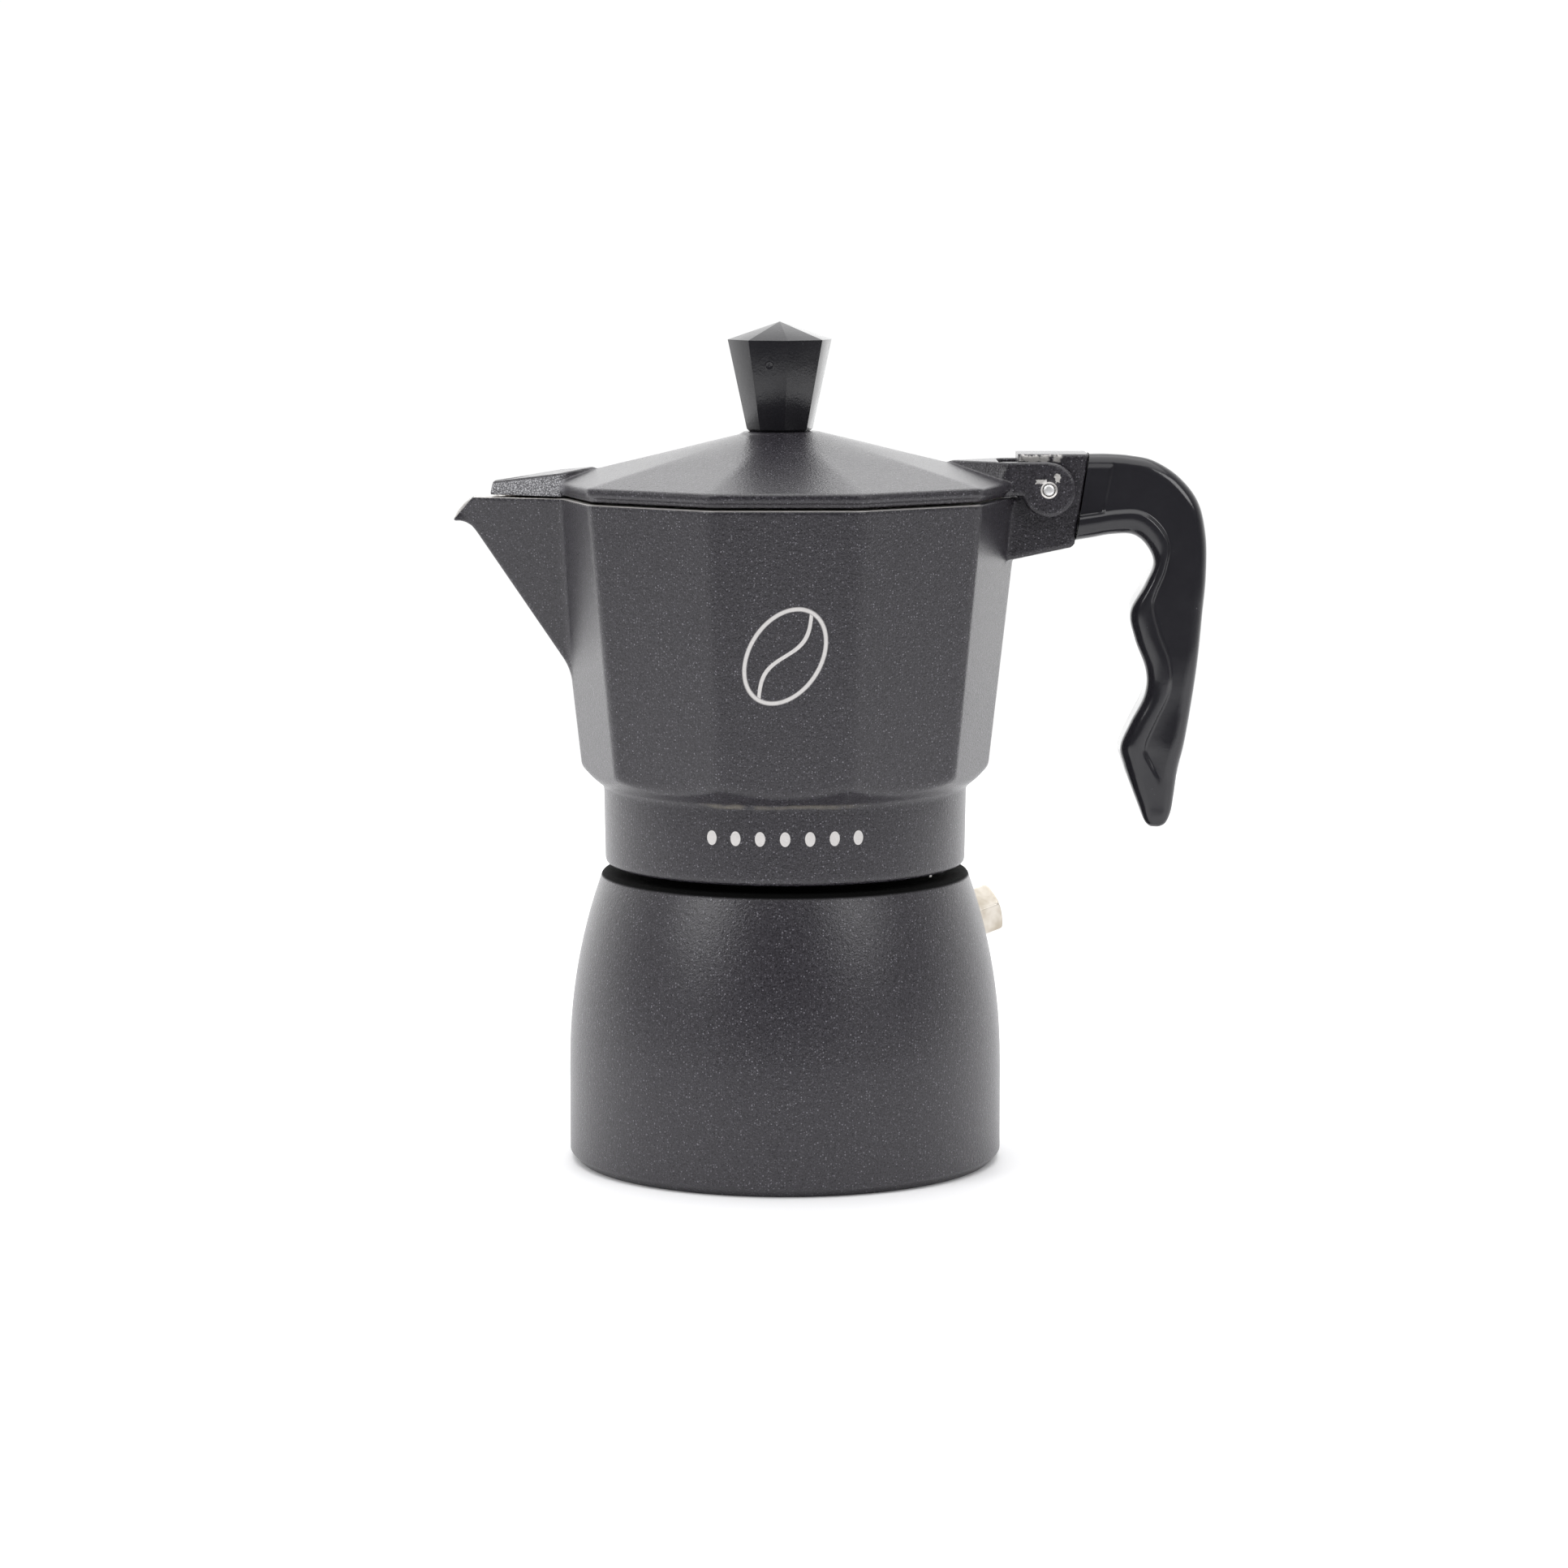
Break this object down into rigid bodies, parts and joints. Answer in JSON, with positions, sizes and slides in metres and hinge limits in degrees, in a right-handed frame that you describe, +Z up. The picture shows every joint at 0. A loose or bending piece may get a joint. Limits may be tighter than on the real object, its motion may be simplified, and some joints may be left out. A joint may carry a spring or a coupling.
{
  "type": "stovetop moka pot",
  "caption": "Stovetop moka pot with a round boiler, a faceted collector with a spout, a hinged lid with a faceted knob, and a side handle.",
  "frame": {"origin": "centre of the boiler's bottom face, which stands on the stove", "axes": "+Z up; +X towards the handle, -X towards the spout; +Y towards the back"},
  "size_m": [0.1415, 0.085, 0.1586],
  "materials": {
    "coated_cast": "sandy charcoal-grey coating, satin",
    "aluminium_sheet": "pressed, fine satin",
    "black_plastic": "glossy moulded black",
    "nickel_brass": "nickel-plated, satin",
    "brass": "turned",
    "steel": "bright zinc-plated",
    "spring_steel": "drawn wire",
    "white_rubber": "matt off-white silicone",
    "red_rubber": "matt red-brown silicone"
  },
  "bodies": {
    "base": {"boiler": "coated_cast", "valve_body": "nickel_brass", "valve_washer": "red_rubber", "valve_retainer": "brass", "valve_spring": "spring_steel", "funnel": "aluminium_sheet", "funnel_stem": "aluminium_sheet", "funnel_disc": "aluminium_sheet"},
    "poppet": {"valve_poppet": "brass", "valve_seal": "red_rubber"},
    "seal_ring": {"gasket": "white_rubber"},
    "top": {"collector": "coated_cast", "filter_plate": "aluminium_sheet", "hinge_pin": "steel", "handle": "black_plastic", "handle_screw": "steel"},
    "cover": {"lid": "coated_cast", "knob": "black_plastic", "knob_insert": "brass", "knob_screw": "steel", "knob_washer": "steel"}
  },
  "joints": [
    {"name": "valve_lift", "type": "slide", "parent": "base", "child": "poppet", "axis": [0.8682, 0.4234, 0.2588], "range_m": [0, 0.001], "stiffness_N_per_m": 1500, "springref_m": -0.0015, "deforming": ["valve_spring"]},
    {"name": "top_lift", "type": "slide", "parent": "base", "child": "seal_ring", "axis": [0, 0, 1], "range_m": [0, 0.0076]},
    {"name": "top_turn", "type": "hinge", "parent": "seal_ring", "child": "top", "pos_m": [0, 0, 0.06], "axis": [0, 0, 1], "range_deg": [0, 900]},
    {"name": "lid_hinge", "type": "hinge", "parent": "top", "child": "cover", "pos_m": [0.0492, 0, 0.1275], "axis": [0, 1, 0], "range_deg": [0, 105]}
  ],
  "couplings": [
    {"joint": "top_lift", "follows": "top_turn", "m_per_rad": 0.00047746}
  ]
}
